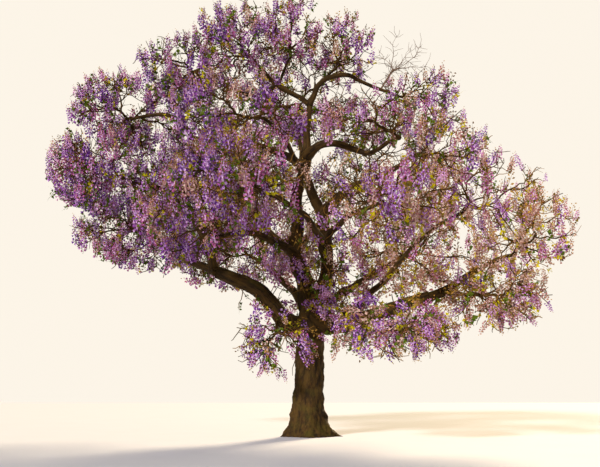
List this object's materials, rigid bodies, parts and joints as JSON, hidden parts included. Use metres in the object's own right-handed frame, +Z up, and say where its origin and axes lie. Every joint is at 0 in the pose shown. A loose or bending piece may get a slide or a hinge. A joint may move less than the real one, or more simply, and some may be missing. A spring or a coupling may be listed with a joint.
{
  "type": "paulownia tree",
  "caption": "Spreading flowering tree with a stout flared trunk, crooked boughs and rounded clouds of lavender flower clusters, rooted in level ground.",
  "frame": {"origin": "middle of the flat cut under the trunk, at ground level", "axes": "+Z up, -Y towards the side that the picture shows, +X to that side's right"},
  "size_m": [17.757, 14.8484, 15.0875],
  "materials": {
    "bark": "rough, dark brown furrowed bark with olive moss on its upper sides",
    "dead_wood": "dry grey-brown twigs",
    "blossom": "soft matt lavender to violet petals",
    "leaves": "soft matt yellow-green young leaves"
  },
  "bodies": {
    "root": {"trunk": "bark", "bough_back_high": "bark", "bough_back_left": "bark", "bough_back_left_low": "bark", "bough_back_right": "bark", "bough_back_right_low": "bark", "bough_crown_far_left": "bark", "bough_crown_left": "bark", "bough_crown_left_fork": "bark", "bough_crown_right": "bark", "bough_crown_right_fork": "bark", "bough_crown_top": "bark", "bough_front_left": "bark", "bough_front_low": "bark", "bough_front_right": "bark", "bough_front_stem": "bark", "bough_front_top": "bark", "bough_leader": "bark", "bough_left_arch": "bark", "bough_left_reaching": "bark", "bough_left_rising": "bark", "bough_left_shoulder": "bark", "bough_low_left": "bark", "bough_low_right": "bark", "bough_low_shoot": "bark", "bough_right_arch": "bark", "bough_right_drooping": "bark", "bough_right_inner": "bark", "bough_right_mid": "bark", "bough_right_reaching": "bark", "bough_right_shoulder": "bark", "bough_right_upper": "bark", "bough_top_stem": "bark", "bough_upper_left": "bark", "blossom_back_high": "blossom", "blossom_back_left": "blossom", "blossom_back_left_low": "blossom", "blossom_back_right": "blossom", "blossom_back_right_low": "blossom", "blossom_crown_far_left": "blossom", "blossom_crown_left": "blossom", "blossom_crown_right": "blossom", "blossom_crown_top": "blossom", "blossom_front_left": "blossom", "blossom_front_low": "blossom", "blossom_front_right": "blossom", "blossom_front_top": "blossom", "blossom_inner_hanging": "blossom", "blossom_left_arch": "blossom", "blossom_left_reaching": "blossom", "blossom_left_rising": "blossom", "blossom_left_shoulder": "blossom", "blossom_low_shoot": "blossom", "blossom_right_drooping": "blossom", "blossom_right_inner": "blossom", "blossom_right_mid": "blossom", "blossom_right_reaching": "blossom", "blossom_right_shoulder": "blossom", "blossom_right_upper": "blossom", "dead_twigs": "dead_wood"}
  },
  "joints": []
}
